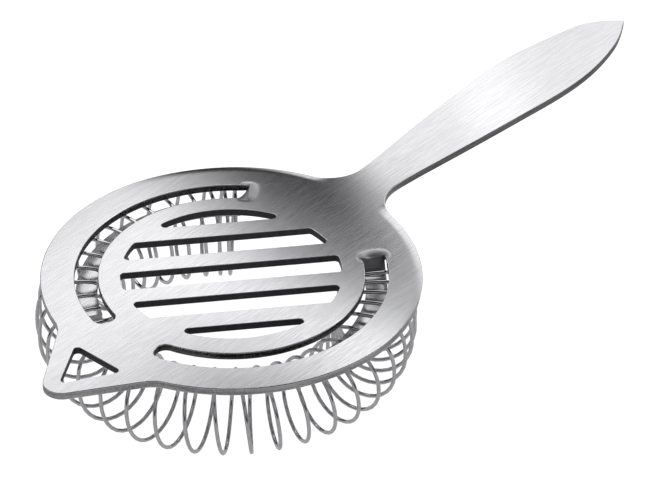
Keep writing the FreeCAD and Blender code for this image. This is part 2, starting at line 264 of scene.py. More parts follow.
def slot_ends(start, side):
    """Corner rounding and end arc of a straight slot, from its lower line up to its upper one."""
    low, high = start, start + SLOT_WIDTH
    inner = SLOT_FIELD_RADIUS - SLOT_CORNER
    low_centre = np.array([math.sqrt(inner**2 - (low + SLOT_CORNER) ** 2), low + SLOT_CORNER])
    high_centre = np.array([math.sqrt(inner**2 - (high - SLOT_CORNER) ** 2), high - SLOT_CORNER])
    low_angle = math.atan2(low_centre[1], low_centre[0])
    high_angle = math.atan2(high_centre[1], high_centre[0])
    points = join(
        [
            arc(low_centre, SLOT_CORNER, -math.pi / 2, low_angle, 0.18),
            arc((0, 0), SLOT_FIELD_RADIUS, low_angle, high_angle, 0.5),
            arc(high_centre, SLOT_CORNER, high_angle, math.pi / 2, 0.18),
        ]
    )
    return points if side > 0 else points[::-1] * [-1, 1]


def long_slot(start):
    right, left = slot_ends(start, 1), slot_ends(start, -1)
    return join([line(left[-1], right[0]), right, line(right[-1], left[0]), left[:-1]])


def crescent(side):
    inner = SLOT_FIELD_RADIUS - SLOT_CORNER
    low = CRESCENT_OFFSET
    centre = np.array([math.sqrt(inner**2 - (low + SLOT_CORNER) ** 2), low + SLOT_CORNER])
    angle = math.atan2(centre[1], centre[0])
    corner = arc(centre, SLOT_CORNER, -math.pi / 2, angle, 0.12)
    top = arc((0, 0), SLOT_FIELD_RADIUS, angle, math.pi - angle)
    other = corner[::-1] * [-1, 1]
    points = join([line(other[-1], corner[0]), corner, top, other[:-1]])
    return points if side > 0 else -points


def turned(points, angle):
    cos, sin = math.cos(angle), math.sin(angle)
    return np.asarray(points) @ np.array([[cos, sin], [-sin, cos]])


def straight_slots():
    starts = [index * SLOT_PITCH - SLOT_WIDTH / 2 for index in (-1, 0, 1)]
    loops = [long_slot(start) for start in starts] + [crescent(1), crescent(-1)]
    return [turned(loop + [0, SLOT_FIELD_OFFSET], SLOT_DIRECTION) for loop in loops]


def arc_slot(front):
    """An arc slot on the left, with its root edge last. That edge runs from outer to inner corner."""
    inner_reach = ARC_INNER + ARC_CORNER
    outer_reach = ARC_OUTER - ARC_CORNER
    inner_angle = front - math.asin(ARC_CORNER / inner_reach)
    outer_angle = front - math.asin(ARC_CORNER / outer_reach)
    radial = front + math.pi / 2
    return join(
        [
            arc((0, 0), ARC_INNER, ARC_ROOT, inner_angle, 0.5),
            arc(polar(inner_reach, inner_angle), ARC_CORNER, inner_angle + math.pi, radial, 0.25)[:-1],
            arc(polar(outer_reach, outer_angle), ARC_CORNER, radial, outer_angle, 0.25)[1:],
            arc((0, 0), ARC_OUTER, outer_angle, ARC_ROOT, 0.5),
            line(polar(ARC_OUTER, ARC_ROOT), polar(ARC_INNER, ARC_ROOT), 0.45)[:-1],
        ]
    )


def pour_hole():
    loop = []
    corner_reach = 2 * (HOLE_INRADIUS - HOLE_CORNER)
    for index in range(3):
        angle = math.pi + index * 2 * math.pi / 3
        centre = np.array([HOLE_CENTRE, 0]) + polar(corner_reach, angle)
        loop.append(arc(centre, HOLE_CORNER, angle - math.pi / 3, angle + math.pi / 3, 0.15))
    corners = [line(loop[i][-1], loop[(i + 1) % 3][0])[1:-1] for i in range(3)]
    return join([part for pair in zip(loop, corners) for part in pair])


# ------------------------------------------------------------------ shape of the plate's faces


def sheet_height(x):
    """Height of the top face along the handle, from the sheet's gentle bends."""
    height = np.zeros_like(x)
    for middle, turn, length in SHEET_BENDS:
        run = x - (middle - length / 2)
        within = turn * run**2 / (2 * length)
        beyond = turn * (run - length / 2)
        height += np.where(run < 0, 0, np.where(run < length, within, beyond))
    return height


def scoop(x, y):
    """Depth of the two dimples that lead the sheet down into the tongues."""
    radius, angle = np.hypot(x, y), np.abs(np.arctan2(y, x))
    rise = np.clip((angle - SCOOP_START) / (ARC_ROOT - SCOOP_START), 0, 1) ** SCOOP_SHARPNESS
    fade = 1 - smooth((angle - ARC_ROOT) / SCOOP_FADE)
    across = np.clip(np.abs(radius - ARC_MIDDLE) / SCOOP_HALF_WIDTH, 0, 1)
    return SCOOP_DEPTH * rise * fade * np.cos(across * math.pi / 2) ** 2


def rim_roll(x, y):
    """The slight roll-down of the rim beside the neck: full by 18 degrees, and fading out from 50 to 80."""
    radius, angle = np.hypot(x, y), np.abs(np.arctan2(y, x))
    share = np.clip((radius - (DISC_RADIUS - ROLL_WIDTH)) / ROLL_WIDTH, 0, 1.3)
    starts = smooth((angle - math.radians(10)) / math.radians(8))
    stops = smooth((angle - math.radians(50)) / math.radians(30))
    return ROLL_DEPTH * share**2 * starts * (1 - stops) * (x < HANDLE_START)


def face_height(x, y):
    return sheet_height(x) - scoop(x, y) - rim_roll(x, y)


def face_normal(x, y):
    """Unit normals of the top face, one row to a point."""
    nudge = 0.02
    along_x = (face_height(x + nudge, y) - face_height(x - nudge, y)) / (2 * nudge)
    along_y = (face_height(x, y + nudge) - face_height(x, y - nudge)) / (2 * nudge)
    normals = np.column_stack([-along_x, -along_y, np.ones_like(x)])
    return normals / np.linalg.norm(normals, axis=1)[:, None]


def sheet_point(plan, depth):
    """Points of the sheet under the given plan points, depth millimetres below its top face."""
    x, y = plan[:, 0], plan[:, 1]
    normals = face_normal(x, y)
    top = np.column_stack([x, y, face_height(x, y)])
    return top - normals * np.asarray(depth).reshape(-1, 1), normals


def inside(points, loop):
    """Which plan points lie inside a closed loop."""
    x, y = points[:, 0][:, None], points[:, 1][:, None]
    first, second = loop, np.roll(loop, -1, axis=0)
    spans = (first[:, 1] > y) != (second[:, 1] > y)
    rise = np.where(second[:, 1] == first[:, 1], 1e-12, second[:, 1] - first[:, 1])
    crossing = first[:, 0] + (y - first[:, 1]) / rise * (second[:, 0] - first[:, 0])
    return (np.sum(spans & (x < crossing), axis=1) % 2) == 1


def distance_to(points, loop):
    """Distance from each point to the nearest point of a loop."""
    best = np.full(len(points), 1e9)
    for start in range(0, len(points), 2000):
        part = points[start : start + 2000]
        gaps = np.linalg.norm(part[:, None, :] - loop[None, :, :], axis=2)
        best[start : start + 2000] = gaps.min(axis=1)
    return best


def signed_area(loop):
    following = np.roll(loop, -1, axis=0)
    return 0.5 * np.sum(loop[:, 0] * following[:, 1] - following[:, 0] * loop[:, 1])


def material_side(loop):
    """Unit vectors from each point of a loop into the metal, which lies on the loop's left."""
    before = loop - np.roll(loop, 1, axis=0)
    after = np.roll(loop, -1, axis=0) - loop
    ways = before / np.linalg.norm(before, axis=1)[:, None] + after / np.linalg.norm(after, axis=1)[:, None]
    ways /= np.linalg.norm(ways, axis=1)[:, None]
    return np.column_stack([-ways[:, 1], ways[:, 0]])


def edge_rings(edge, rounding):
    """Rings down a cut edge: how far in from the wall, how deep, and the angle that each faces.

    rounding runs from 0, a square wall, to 1, both edges rounded by the edge radius.
    """
    angles = np.linspace(0, math.pi / 2, EDGE_RINGS)
    shares = np.linspace(0, 1, WALL_RINGS + 2)[1:-1]
    inset = np.concatenate([1 - np.sin(angles), 0 * shares, 1 - np.sin(angles[::-1])])
    drop = np.concatenate([1 - np.cos(angles), 1 - 2 * shares, np.cos(angles[::-1]) - 1])
    level = np.concatenate([0 * angles, shares, 0 * angles + 1]) * THICKNESS
    facing = np.concatenate([angles, 0 * shares + math.pi / 2, math.pi - angles[::-1]])
    square = np.linspace(0, THICKNESS, len(drop))
    inward = np.outer(rounding * edge, inset)
    depths = np.outer(rounding * edge, drop) + np.outer(rounding, level) + np.outer(1 - rounding, square)
    return inward, depths, facing


class Skin:
    """Collects vertices with their normals, and faces with their material."""

    def __init__(self):
        self.points, self.normals, self.faces, self.kinds = [], [], [], []

    def add(self, points, normals):
        first = len(self.points)
        self.points.extend(np.asarray(points).tolist())
        self.normals.extend(np.asarray(normals).tolist())
        return np.arange(first, first + len(points))

    def face(self, corners, kind):
        self.faces.append([int(corner) for corner in corners])
        self.kinds.append(kind)

    def band(self, first, second, kind):
        """Quads between two closed runs of vertices."""
        for i in range(len(first)):
            j = (i + 1) % len(first)
            self.face([first[i], second[i], second[j], first[j]], kind)


# Material slots of the plate, in the order of PLATE_MATERIALS.
FACE, PAINTED_SHADE_CUT, SHEARED_CUT, ARC_CUT, TONGUE_SHADED_FACE = range(5)


def build_wall(skin, loop, edge, kind, rounding, skipped=()):
    """The rounded wall of one cut. Returns its rings of vertices, top to bottom."""
    side = material_side(loop)
    inward, depths, facing = edge_rings(edge, rounding)
    rings = []
    for ring, angle in enumerate(facing):
        plan = loop + side * inward[:, ring : ring + 1]
        points, up = sheet_point(plan, depths[:, ring])
        out = -np.column_stack([side, np.zeros(len(side))])
        normals = up * math.cos(angle) + out * math.sin(angle)
        square = np.outer(1 - rounding, np.ones(3))
        normals = normals * (1 - square) + out * square
        rings.append(skin.add(points, normals))
    for ring in range(len(facing) - 1):
        outer = EDGE_RINGS - 1 <= ring < EDGE_RINGS + WALL_RINGS
        for i in range(len(loop)):
            j = (i + 1) % len(loop)
            if i in skipped:
                continue
            above, below = rings[ring], rings[ring + 1]
            skin.face([above[i], below[i], below[j], above[j]], kind if outer else FACE)
    return rings


def tongue_depth(angle, stations):
    """Depth of the tongue's top face, as a smooth run through its stations."""
    places, depths = np.array(stations).T
    slopes = np.gradient(depths, places)
    slopes[0] = ROOT_SLOPE
    degrees = math.degrees(angle)
    i = int(np.clip(np.searchsorted(places, degrees) - 1, 0, len(places) - 2))
    gap = places[i + 1] - places[i]
    t = np.clip((degrees - places[i]) / gap, 0, 1)
    return cubic(t, gap, depths[i], depths[i + 1], slopes[i], slopes[i + 1])


def tongue_ring(angle, side, stations, share, root_lift):
    """One ring round the tongue: its top, outer wall, underside and inner wall.

    Returns its points, their normals and the way the tongue runs on, which is level at its end.
    """
    nudge = 0.002
    drop = tongue_depth(angle + nudge, stations) - tongue_depth(angle - nudge, stations)
    at_end = math.degrees(angle) > stations[-1][0] - 0.1
    steepness = 0.0 if at_end else drop / (2 * nudge * ARC_MIDDLE)
    travelled = (angle - ARC_ROOT) * ARC_MIDDLE
    rounding = float(smooth(travelled / ROOT_EASE))
    width = ARC_SPAN - (ARC_SPAN - TONGUE_WIDTH) * float(smooth(travelled / TONGUE_TAPER))
    depth = tongue_depth(angle, stations) - (1 - smooth(travelled / ROOT_BLEND)) * root_lift
    dish = TONGUE_DISH * (1 - (2 * share) ** 2) * float(smooth((travelled - 1.0) / 4.0))
    inward, drops, facing = edge_rings(TONGUE_EDGE, np.array([rounding]))
    spoke = np.array([math.cos(angle), side * math.sin(angle), 0.0])
    ahead = np.array([-math.sin(angle), side * math.cos(angle), -steepness])
    ahead /= np.linalg.norm(ahead)
    up = np.cross(spoke, ahead) * side
    reach = ARC_MIDDLE + share * (width - 2 * inward[0, 0])
    crown = spoke * reach[:, None] - np.outer(depth + dish, [0, 0, 1])
    points = list(crown)
    normals = [up + spoke * (8 * TONGUE_DISH * s / ARC_SPAN) for s in share]
    walls = []
    for end in (-1, 0):
        out = spoke * np.sign(share[end])
        wall = []
        for ring in range(1, len(facing) - 1):
            place = spoke * (ARC_MIDDLE + share[end] * (width - 2 * inward[0, ring]))
            place = place - [0, 0, depth[end]] - up * drops[0, ring]
            wall.append((place, up * math.cos(facing[ring]) + out * math.sin(facing[ring])))
        walls.append(wall)
    underside = [(place - up * THICKNESS, -up) for place in crown[::-1]]
    for place, normal in walls[0] + underside + walls[1][::-1]:
        points.append(place)
        normals.append(normal)
    return points, normals, ahead


def build_tongue(skin, loop, rings, root, side):
    """The strip that goes on from the slot's root edge, bends down and runs along under the slot."""
    stations = LEFT_DEPTHS if side > 0 else RIGHT_DEPTHS
    levels = len(rings)
    top, bottom = rings[0][root], rings[-1][root]
    first_side = [rings[level][root[0]] for level in range(1, levels - 1)]
    last_side = [rings[level][root[-1]] for level in range(1, levels - 1)]
    previous = np.concatenate([top, last_side, bottom[::-1], first_side[::-1]])
    root_lift = SCOOP_DEPTH - scoop(loop[root, 0], loop[root, 1])
    share = (np.hypot(loop[root, 0], loop[root, 1]) - ARC_MIDDLE) / ARC_SPAN
    start, settled, end = stations[0][0], 42, stations[-1][0]
    degrees = np.concatenate([np.linspace(start, settled, 27)[1:], np.linspace(settled, end, 150)[1:]])
    kinds = ([TONGUE_SHADED_FACE] * (len(root) - 1) + [SHEARED_CUT] * (levels - 1)) * 2
    for angle in np.radians(degrees):
        points, normals, ahead = tongue_ring(angle, side, stations, share, root_lift)
        current = skin.add(points, normals)
        for i in range(len(current)):
            j = (i + 1) % len(current)
            skin.face([previous[i], current[i], current[j], previous[j]], kinds[i])
        previous = current
    end_ring = skin.add([skin.points[i] for i in previous], [list(ahead)] * len(previous))
    skin.face(list(end_ring[::-1]), SHEARED_CUT)


def polar_grid(radii, degrees):
    """Points at every radius and angle, on both sides of the centre line."""
    angles = np.radians(degrees)
    return [polar(radius, side * angle) for radius in radii for angle in angles for side in (1, -1)]


def interior_points(loops, boundary):
    """Plan points for the flat of the plate, closer together where it is dimpled or rolled."""
    low, high = loops[0].min(axis=0), loops[0].max(axis=0)
    xs = np.arange(low[0], high[0], 2.0)
    ys = np.arange(low[1], high[1], 1.8)
    coarse = np.array([(x + (0.9 if row % 2 else 0), y) for row, y in enumerate(ys) for x in xs])
    dimples = polar_grid(np.arange(ARC_MIDDLE - 7, ARC_MIDDLE + 7.01, 0.45), np.arange(22.0, 43.0, 0.8))
    rim = polar_grid((42.5, 42.0, 41.4, 40.8, 40.2), np.arange(8.0, 82.0, 1.0))
    fine = np.array(dimples + rim)
    coarse = coarse[distance_to(coarse, fine) > 0.8]
    kept = []
    for points, clearance in ((coarse, 0.75), (fine, 0.32)):
        good = inside(points, loops[0])
        for loop in loops[1:]:
            good &= ~inside(points, loop)
        good &= distance_to(points, boundary) > clearance
        kept.append(points[good])
    return np.vstack(kept)


def on_root(loop):
    """Which points of an arc slot's loop lie on its root edge."""
    return np.abs(np.abs(np.arctan2(loop[:, 1], loop[:, 0])) - ARC_ROOT) < 1e-6


def plate_cuts():
    """Every cut: its loop with the metal on its left, edge radius, material, and side of a tongue or 0."""
    right = arc_slot(ARC_FRONT_RIGHT) * [1, -1]
    cuts = [(plate_outline(), OUTLINE_EDGE, SHEARED_CUT, 0)]
    cuts += [(loop, SLOT_EDGE, PAINTED_SHADE_CUT, 0) for loop in straight_slots() + [pour_hole()]]
    cuts += [(arc_slot(ARC_FRONT_LEFT), ARC_EDGE, ARC_CUT, 1), (right, ARC_EDGE, ARC_CUT, -1)]
    for number, (loop, edge, kind, side) in enumerate(cuts):
        wanted = 1 if number == 0 else -1
        if signed_area(loop) * wanted < 0:
            loop = loop[::-1]
        if side:
            at_root = on_root(loop)
            start = next(i for i in range(len(loop)) if at_root[i] and not at_root[i - 1])
            loop = np.roll(loop, -start, axis=0)
        cuts[number] = (loop, edge, kind, side)
    return cuts


def build_cut(skin, loop, edge, kind, side):
    """A cut's wall, with its tongue if it has one. Returns the wall's rings and its line on the face."""
    if kind == SHEARED_CUT:
        edge = edge + (HANDLE_EDGE - edge) * smooth((loop[:, 0] - HANDLE_START) / 6)
    if not side:
        rounding = np.ones(len(loop))
        rings = build_wall(skin, loop, edge, kind, rounding)
    else:
        travelled = (np.abs(np.arctan2(loop[:, 1], loop[:, 0])) - ARC_ROOT) * ARC_MIDDLE
        rounding = smooth(travelled / ROOT_EASE)
        root = np.arange(int(on_root(loop).sum()))
        rings = build_wall(skin, loop, edge, kind, rounding, set(root[:-1].tolist()))
        up = face_normal(loop[root, 0], loop[root, 1])
        for index in root:
            skin.normals[rings[0][index]] = up[index].tolist()
            skin.normals[rings[-1][index]] = (-up[index]).tolist()
        build_tongue(skin, loop, rings, root, side)
    return rings, loop + material_side(loop) * np.outer(edge * rounding, (1, 1))


def flat_triangles(loops, plan):
    """Triangles between the plan points, inside the first loop and outside the others."""
    edges, first = [], 0
    for loop in loops:
        count = len(loop)
        edges += [(first + i, first + (i + 1) % count) for i in range(count)]
        first += count
    result = delaunay_2d_cdt([Vector(p) for p in plan.tolist()], edges, [], 0, 1e-7)
    found = np.array([tuple(v) for v in result[0]])
    corners, sources = np.array(result[2]), np.array([origin[0] for origin in result[3]])
    middles = found[corners].mean(axis=1)
    solid = inside(middles, loops[0])
    for loop in loops[1:]:
        solid &= ~inside(middles, loop)
    return sources[corners[solid]]


def plate_skin():
    """The whole pressed sheet as one closed skin, with exact normals."""
    cuts = plate_cuts()
    skin = Skin()
    top_loops, top_ids, bottom_ids = [], [], []
    for loop, edge, kind, side in cuts:
        rings, top_plan = build_cut(skin, loop, edge, kind, side)
        top_loops.append(top_plan)
        top_ids.append(rings[0])
        bottom_ids.append(rings[-1])
    boundary = np.vstack(top_loops)
    extra = interior_points([cut[0] for cut in cuts], boundary)
    top_points, top_normals = sheet_point(extra, np.zeros(len(extra)))
    under_points, under_normals = sheet_point(extra, np.full(len(extra), THICKNESS))
    top_of = np.concatenate(top_ids + [skin.add(top_points, top_normals)])
    under_of = np.concatenate(bottom_ids + [skin.add(under_points, -under_normals)])
    for a, b, c in flat_triangles(top_loops, np.vstack([boundary, extra])):
        skin.face([top_of[a], top_of[b], top_of[c]], FACE)
        skin.face([under_of[a], under_of[c], under_of[b]], FACE)
    return skin


# ------------------------------------------------------------------ coil spring


def crowding(angle):
    """How much closer the coils stand at this angle than along the open run: they crowd at both ends."""
    left = 1.5 * np.exp(-(((angle - COIL_START) / 9.0) ** 2))
    right = 0.5 * np.exp(-(((COIL_END - angle) / 22.0) ** 2))
    return 1.0 + left + right


def coil_lift(angle):
    """1 where the coil's top is pressed up under the plate, 0 where it droops with the right tongue."""
    return 1 - smooth((angle - 170) / 25) * (1 - smooth((angle - 265) / 33))


def coil_centreline(per_turn=30):
    """Points along the wire: an oval coil with a squarer upper half, carried round the ring."""
    angles = np.linspace(COIL_START, COIL_END, 14000)
    rate = -TURNS_PER_RING * crowding((angles[1:] + angles[:-1]) / 2) * np.radians(np.diff(angles))
    phases = np.concatenate([[0.0], np.cumsum(rate)])
    phases += PHASE_THERE - np.interp(PHASE_ANGLE, angles, phases)
    wanted = np.arange(phases[0], phases[-1], -2 * math.pi / per_turn)
    where = np.radians(np.interp(-wanted, -phases, angles))
    shift = RING_SHIFT[0] * np.cos(where) + RING_SHIFT[1] * np.sin(where)
    lift = coil_lift(np.degrees(where))
    power = 2 + (COIL_TOP_POWER - 2) * lift
    square = (np.abs(np.cos(wanted)) ** power + np.abs(np.sin(wanted)) ** power) ** (-1 / power)
    fullness = np.where(np.sin(wanted) > 0, square, 1.0)
    droop = COIL_DROOP * (1 - lift)
    radial = RING_RADIUS + shift + COIL_HALF_WIDTH * np.cos(wanted) * fullness
    height = (COIL_HALF_HEIGHT - droop) * np.sin(wanted) * fullness - COIL_DEPTH - droop
    return np.column_stack([radial * np.cos(where), radial * np.sin(where), height])


def coil_skin(sides=14):
    """Round wire along the coil, with rounded ends."""
    path = coil_centreline()
    ways = np.gradient(path, axis=0)
    ways /= np.linalg.norm(ways, axis=1)[:, None]
    skin = Skin()
    across = np.cross(ways[0], [0, 0, 1.0])
    rings = []
    turn = np.linspace(0, 2 * math.pi, sides, endpoint=False)
    caps = [(-0.30, 0.35), (-0.24, 0.7), (-0.1, 0.94)]
    stations = [(path[0] + ways[0] * back, ways[0], size) for back, size in caps]
    stations += [(point, way, 1.0) for point, way in zip(path, ways)]
    stations += [(path[-1] - ways[-1] * back, ways[-1], size) for back, size in caps[::-1]]
    for centre, way, size in stations:
        across = across - way * np.dot(across, way)
        across /= np.linalg.norm(across)
        beside = np.cross(way, across)
        spokes = np.outer(np.cos(turn), across) + np.outer(np.sin(turn), beside)
        rings.append(skin.add(centre + spokes * WIRE_RADIUS * size, spokes))
    for first, second in zip(rings, rings[1:]):
        skin.band(second, first, FACE)
    skin.face(rings[0][::-1], FACE)
    skin.face(rings[-1], FACE)
    return skin


# ------------------------------------------------------------------ from skins to objects


def make_object(name, skin, materials):
    """A mesh object of the skin, in the CAD frame, with its own normals."""
    points = in_frame(skin.points)
    used = np.unique(np.concatenate([np.array(face) for face in skin.faces]))
    order = np.full(len(points), -1)
    order[used] = np.arange(len(used))
    faces = [[int(order[corner]) for corner in face] for face in skin.faces]
    mesh = bpy.data.meshes.new(name)
    mesh.from_pydata(points[used].tolist(), [], faces)
    for material in materials:
        mesh.materials.append(material)
    mesh.polygons.foreach_set("material_index", skin.kinds)
    mesh.polygons.foreach_set("use_smooth", [True] * len(faces))
    # The layer's vertical runs along the handle: only its direction is used, for the brushing.
    layer = mesh.uv_layers.new(name="grain")
    corners = np.empty(len(mesh.loops), dtype=int)
    mesh.loops.foreach_get("vertex_index", corners)
    plan = points[used][corners]
    layer.data.foreach_set("uv", np.column_stack([plan[:, 1], plan[:, 0]]).ravel() * 5 + 0.5)
    normals = np.asarray(skin.normals, float)[used]
    normals /= np.linalg.norm(normals, axis=1)[:, None]
    mesh.normals_split_custom_set_from_vertices(normals.tolist())
    mesh.validate()
    obj = bpy.data.objects.new(name, mesh)
    bpy.context.scene.collection.objects.link(obj)
    return obj


def mark_pressed_and_painted_shade(obj):
    """Stores which vertices lie in the root dimples, where pressing has dulled the brushing and the colour
    is darkened as painted shade.
    """
    places = np.empty(len(obj.data.vertices) * 3)
    obj.data.vertices.foreach_get("co", places)
    plan = places.reshape(-1, 3)[:, :2] / MM - [DISC_X, DISC_Y]
    layer = obj.data.attributes.new("pressed", "FLOAT", "POINT")
    layer.data.foreach_set("value", smooth(scoop(plan[:, 0], plan[:, 1]) / PRESSED_DEPTH))


# ------------------------------------------------------------------ materials


class Nodes:
    """Short calls for building a node material."""

    def __init__(self, name):
        self.material = bpy.data.materials.new(name)
        self.material.use_nodes = True
        self.tree = self.material.node_tree
        self.shader = self.tree.nodes["Principled BSDF"]

    def node(self, kind, **settings):
        node = self.tree.nodes.new(kind)
        for key, value in settings.items():
            setattr(node, key, value)
        return node

    def link(self, source, target):
        self.tree.links.new(source, target)

    def noise(self, scale, detail=3.0, rough=0.6):
        """Noise over the object's own coordinates, stretched by a scale along each axis."""
        coords = self.node("ShaderNodeTexCoord")
        mapping = self.node("ShaderNodeMapping")
        mapping.inputs["Scale"].default_value = scale
        texture = self.node("ShaderNodeTexNoise")
        texture.inputs["Scale"].default_value = 1.0
        texture.inputs["Detail"].default_value = detail
        texture.inputs["Roughness"].default_value = rough
        self.link(coords.outputs["Object"], mapping.inputs["Vector"])
        self.link(mapping.outputs["Vector"], texture.inputs["Vector"])
        return texture.outputs["Fac"]

    def remap(self, value, low, high, start=0.3, end=0.7):
        """The value's middle range spread from low to high."""
        node = self.node("ShaderNodeMapRange")
        node.inputs["From Min"].default_value = start
        node.inputs["From Max"].default_value = end
        node.inputs["To Min"].default_value = low
        node.inputs["To Max"].default_value = high
        self.link(value, node.inputs["Value"])
        return node.outputs["Result"]

    def blend(self, first, second, mode="MULTIPLY"):
        node = self.node("ShaderNodeMath", operation=mode)
        self.link(first, node.inputs[0])
        self.link(second, node.inputs[1])
        return node.outputs["Value"]

    def grey(self, value, dark, light, start=0.3, end=0.7):
        """A colour ramp between two greys, each given as red, green and blue."""
        ramp = self.node("ShaderNodeValToRGB")
        ramp.color_ramp.elements[0].color = (*dark, 1)
        ramp.color_ramp.elements[1].color = (*light, 1)
        ramp.color_ramp.elements[0].position = start
        ramp.color_ramp.elements[1].position = end
        self.link(value, ramp.inputs["Fac"])
        return ramp.outputs["Color"]

    def bump(self, value, strength, distance):
        node = self.node("ShaderNodeBump")
        node.inputs["Strength"].default_value = strength
        node.inputs["Distance"].default_value = distance
        self.link(value, node.inputs["Height"])
        self.link(node.outputs["Normal"], self.shader.inputs["Normal"])


def brushed_sheet(name, dark, light, roughness):
    """Stainless sheet brushed along the handle, duller where it is pressed, and darkened there as painted
    shade.
    """
    n = Nodes(name)
    fine = n.noise((210, 6500, 1500), 2.0, 0.5)
    broad = n.noise((120, 3800, 700), 2.0, 0.5)
    cloud = n.noise((22, 30, 30), 2.0, 0.5)
    strokes = n.remap(n.blend(fine, broad, "ADD"), 0.0, 1.0, 0.0, 2.0)
    pressed = n.node("ShaderNodeAttribute", attribute_name="pressed").outputs["Fac"]
    # Painted shade: the colour is scaled down to 0.6 in the root dimples.
    scale = n.node("ShaderNodeVectorMath", operation="SCALE")
    n.link(n.grey(strokes, dark, light, 0.4, 0.6), scale.inputs[0])
    n.link(n.remap(pressed, 1.0, 0.6, 0.0, 1.0), scale.inputs["Scale"])
    n.link(scale.outputs["Vector"], n.shader.inputs["Base Color"])
    wear = n.remap(cloud, roughness - 0.01, roughness + 0.01)
    n.link(n.blend(wear, n.remap(pressed, 0.0, 0.2, 0.0, 1.0), "ADD"), n.shader.inputs["Roughness"])
    n.shader.inputs["Metallic"].default_value = 1.0
    n.shader.inputs["Anisotropic"].default_value = 1.0
    tangent = n.node("ShaderNodeTangent", direction_type="UV_MAP", uv_map="grain")
    n.link(tangent.outputs["Tangent"], n.shader.inputs["Tangent"])
    n.link(n.remap(fine, -0.014, 0.014), n.shader.inputs["Anisotropic Rotation"])
    n.bump(strokes, 0.06, 0.00001)
    return n.material


def painted_shade_cut():
    """The walls of the straight slots and the pouring hole: near black as painted shade, dull, faintly
    ribbed.
    """
    n = Nodes("painted_shade_cut")
    ribs = n.noise((900, 900, 60), 3.0, 0.6)
    n.link(n.grey(ribs, (0.040, 0.040, 0.044), (0.070, 0.070, 0.075)), n.shader.inputs["Base Color"])
    n.link(n.remap(ribs, 0.42, 0.6), n.shader.inputs["Roughness"])
    n.shader.inputs["Metallic"].default_value = 1.0
    n.bump(ribs, 0.25, 0.00003)
    return n.material


def sheared_cut(name, dark, light, grit=0.5):
    """A sheared edge: grainy and patchy from the dark to the light grey, and darker past the neck."""
    n = Nodes(name)
    grain = n.noise((2600, 2600, 1900), 4.0, 0.7)
    patches = n.noise((60, 60, 900), 3.0, 0.6)
    mix = n.blend(grain, patches, "ADD")
    coords = n.node("ShaderNodeTexCoord")
    split = n.node("ShaderNodeSeparateXYZ")
    n.link(coords.outputs["Object"], split.inputs["Vector"])
    start, end = ((DISC_X + HANDLE_START + reach) * MM for reach in (-12, 4))
    shade = n.remap(split.outputs["X"], 1.0, 0.42, start, end)
    scale = n.node("ShaderNodeVectorMath", operation="SCALE")
    n.link(n.grey(n.remap(mix, 0, 1, 0.6, 1.4), dark, light), scale.inputs[0])
    n.link(shade, scale.inputs["Scale"])
    n.link(scale.outputs["Vector"], n.shader.inputs["Base Color"])
    n.link(n.remap(grain, 0.3, 0.5), n.shader.inputs["Roughness"])
    n.shader.inputs["Metallic"].default_value = 1.0
    n.bump(grain, grit, 0.00005)
    return n.material


def drawn_wire():
    """Bright drawn stainless wire."""
    n = Nodes("drawn_wire")
    drag = n.noise((500, 500, 500), 3.0, 0.6)
    n.link(n.grey(drag, (0.50, 0.50, 0.515), (0.64, 0.64, 0.655)), n.shader.inputs["Base Color"])
    n.link(n.remap(drag, 0.08, 0.15), n.shader.inputs["Roughness"])
    n.shader.inputs["Metallic"].default_value = 1.0
    n.bump(drag, 0.1, 0.00002)
    return n.material


def pale_floor():
    """A floor that glows as a painted pool of light around the object, and dimmer where the metal mirrors it
    than where it is seen.
    """
    n = Nodes("pale_floor")
    cloud = n.noise((3, 3, 3), 2.0, 0.5)
    n.link(n.grey(cloud, (0.25, 0.25, 0.25), (0.27, 0.27, 0.27)), n.shader.inputs["Base Color"])
    n.shader.inputs["Roughness"].default_value = 0.9
    n.shader.inputs["Emission Color"].default_value = (1, 1, 1, 1)
    coords = n.node("ShaderNodeTexCoord")
    reach = n.node("ShaderNodeVectorMath", operation="LENGTH")
    n.link(coords.outputs["Object"], reach.inputs[0])
    seen = n.node("ShaderNodeLightPath").outputs["Is Camera Ray"]
    # Painted pool of light: the glow is strongest within 0.26 m of the object and falls to 0.45 by 0.8 m.
    pool = n.remap(reach.outputs["Value"], 0.98, 0.45, 0.26, 0.8)
    n.link(n.blend(pool, n.remap(seen, 0.47, 1.0, 0.0, 1.0)), n.shader.inputs["Emission Strength"])
    return n.material


# ------------------------------------------------------------------ the object

PLATE_MATERIALS = [
    brushed_sheet("brushed_sheet", (0.675, 0.675, 0.695), (0.785, 0.785, 0.805), 0.22),
    painted_shade_cut(),
    sheared_cut("sheared_edge", (0.22, 0.22, 0.228), (0.5, 0.5, 0.51)),
    sheared_cut("arc_slot_cut", (0.012, 0.012, 0.014), (0.19, 0.185, 0.19), 0.8),
    # The tongues' faces: a darker copy of the brushed sheet, painted shade for their place under the plate.
    brushed_sheet("tongue_face_painted_shade", (0.52, 0.52, 0.535), (0.64, 0.64, 0.655), 0.18),
]
plate = make_object("plate_sheet", plate_skin(), PLATE_MATERIALS)
mark_pressed_and_painted_shade(plate)
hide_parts("strainer_plate")
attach(plate, "plate")

spring = make_object("spring_coil", coil_skin(), [drawn_wire()])
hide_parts("coil_spring")
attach(spring, "spring")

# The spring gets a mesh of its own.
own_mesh(spring)

# ------------------------------------------------------------------ floor, light and camera


def floor():
    mesh = bpy.data.meshes.new("floor")
    reach = 3.0
    corners = [(-reach, -reach, 0), (reach, -reach, 0), (reach, reach, 0), (-reach, reach, 0)]
    mesh.from_pydata(corners, [], [(0, 1, 2, 3)])
    mesh.materials.append(pale_floor())
    obj = bpy.data.objects.new("floor", mesh)
    bpy.context.scene.collection.objects.link(obj)
    obj.location.z = -0.0002


